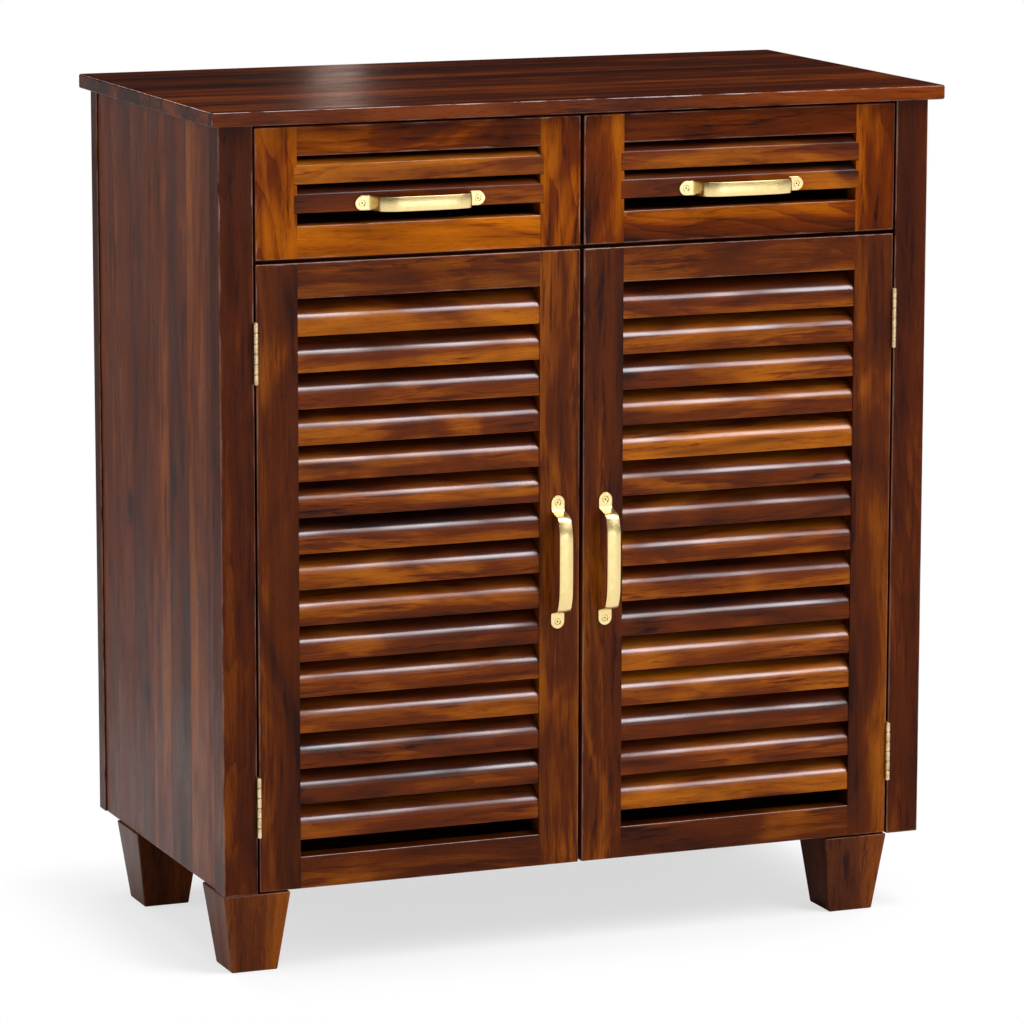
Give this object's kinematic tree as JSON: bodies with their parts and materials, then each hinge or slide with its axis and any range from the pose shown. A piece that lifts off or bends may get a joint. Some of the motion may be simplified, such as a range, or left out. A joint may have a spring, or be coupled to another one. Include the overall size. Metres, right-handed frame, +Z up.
{
  "type": "louvred door cabinet",
  "caption": "Free-standing wooden cupboard with hinged louvred doors below louvred drawers, brass strap handles and short tapered legs.",
  "frame": {"origin": "on the floor, under the middle of the cabinet's bounding box, handles included", "axes": "+Z up, +X to the right of someone facing the doors, the doors and drawers face -Y"},
  "size_m": [0.82, 0.461, 0.9],
  "materials": {
    "top_wood": "glossy reddish-brown lacquered hardwood, grain along the width",
    "post_wood": "glossy dark reddish-brown lacquered hardwood, upright grain",
    "panel_wood": "glossy lacquered hardwood of upright glued planks",
    "board_wood": "lacquered hardwood boards inside the case",
    "leg_wood": "glossy dark reddish-brown lacquered hardwood",
    "door_wood": "glossy reddish-brown lacquered hardwood frames",
    "louvre_wood": "glossy honey to dark brown lacquered hardwood slats",
    "drawer_wood": "glossy honey-brown lacquered hardwood drawer fronts",
    "box_wood": "plain sanded wood of the drawer boxes and guides",
    "handle_brass": "satin brass strap",
    "hinge_brass": "bright brass butt hinges"
  },
  "bodies": {
    "case": {"top_board": "top_wood", "front_post_left": "post_wood", "back_post_left": "post_wood", "side_panel_left": "panel_wood", "drawer_guide_left": "box_wood", "front_leg_left": "leg_wood", "back_leg_left": "leg_wood", "case_hinge_leaf_left_lower": "hinge_brass", "case_hinge_leaf_left_upper": "hinge_brass", "front_post_right": "post_wood", "back_post_right": "post_wood", "side_panel_right": "panel_wood", "drawer_guide_right": "box_wood", "front_leg_right": "leg_wood", "back_leg_right": "leg_wood", "case_hinge_leaf_right_lower": "hinge_brass", "case_hinge_leaf_right_upper": "hinge_brass", "back_panel": "board_wood", "floor_board": "board_wood", "drawer_deck": "board_wood", "shelf": "board_wood", "drawer_divider": "box_wood"},
    "door_left": {"door_left_hinge_stile": "door_wood", "door_left_lock_stile": "door_wood", "door_left_top_rail": "door_wood", "door_left_bottom_rail": "door_wood", "door_left_louvres": "louvre_wood", "door_left_handle": "handle_brass", "door_left_hinge_leaf_lower": "hinge_brass", "door_left_hinge_leaf_upper": "hinge_brass"},
    "door_right": {"door_right_hinge_stile": "door_wood", "door_right_lock_stile": "door_wood", "door_right_top_rail": "door_wood", "door_right_bottom_rail": "door_wood", "door_right_louvres": "louvre_wood", "door_right_handle": "handle_brass", "door_right_hinge_leaf_lower": "hinge_brass", "door_right_hinge_leaf_upper": "hinge_brass"},
    "drawer_left": {"drawer_left_outer_stile": "drawer_wood", "drawer_left_inner_stile": "drawer_wood", "drawer_left_top_rail": "drawer_wood", "drawer_left_bottom_rail": "drawer_wood", "drawer_left_slat_1": "drawer_wood", "drawer_left_slat_2": "drawer_wood", "drawer_left_handle": "handle_brass", "drawer_left_outer_side": "box_wood", "drawer_left_inner_side": "box_wood", "drawer_left_bottom": "box_wood", "drawer_left_back": "box_wood"},
    "drawer_right": {"drawer_right_outer_stile": "drawer_wood", "drawer_right_inner_stile": "drawer_wood", "drawer_right_top_rail": "drawer_wood", "drawer_right_bottom_rail": "drawer_wood", "drawer_right_slat_1": "drawer_wood", "drawer_right_slat_2": "drawer_wood", "drawer_right_handle": "handle_brass", "drawer_right_outer_side": "box_wood", "drawer_right_inner_side": "box_wood", "drawer_right_bottom": "box_wood", "drawer_right_back": "box_wood"}
  },
  "joints": [
    {"name": "door_left_hinge", "type": "hinge", "parent": "case", "child": "door_left", "pos_m": [-0.3599, -0.2062, 0.4144], "axis": [0, 0, -1], "range_deg": [0, 170]},
    {"name": "door_right_hinge", "type": "hinge", "parent": "case", "child": "door_right", "pos_m": [0.3599, -0.2062, 0.4144], "axis": [0, 0, 1], "range_deg": [0, 170]},
    {"name": "drawer_left_slide", "type": "slide", "parent": "case", "child": "drawer_left", "axis": [0, -1, 0], "range_m": [0, 0.28]},
    {"name": "drawer_right_slide", "type": "slide", "parent": "case", "child": "drawer_right", "axis": [0, -1, 0], "range_m": [0, 0.28]}
  ]
}
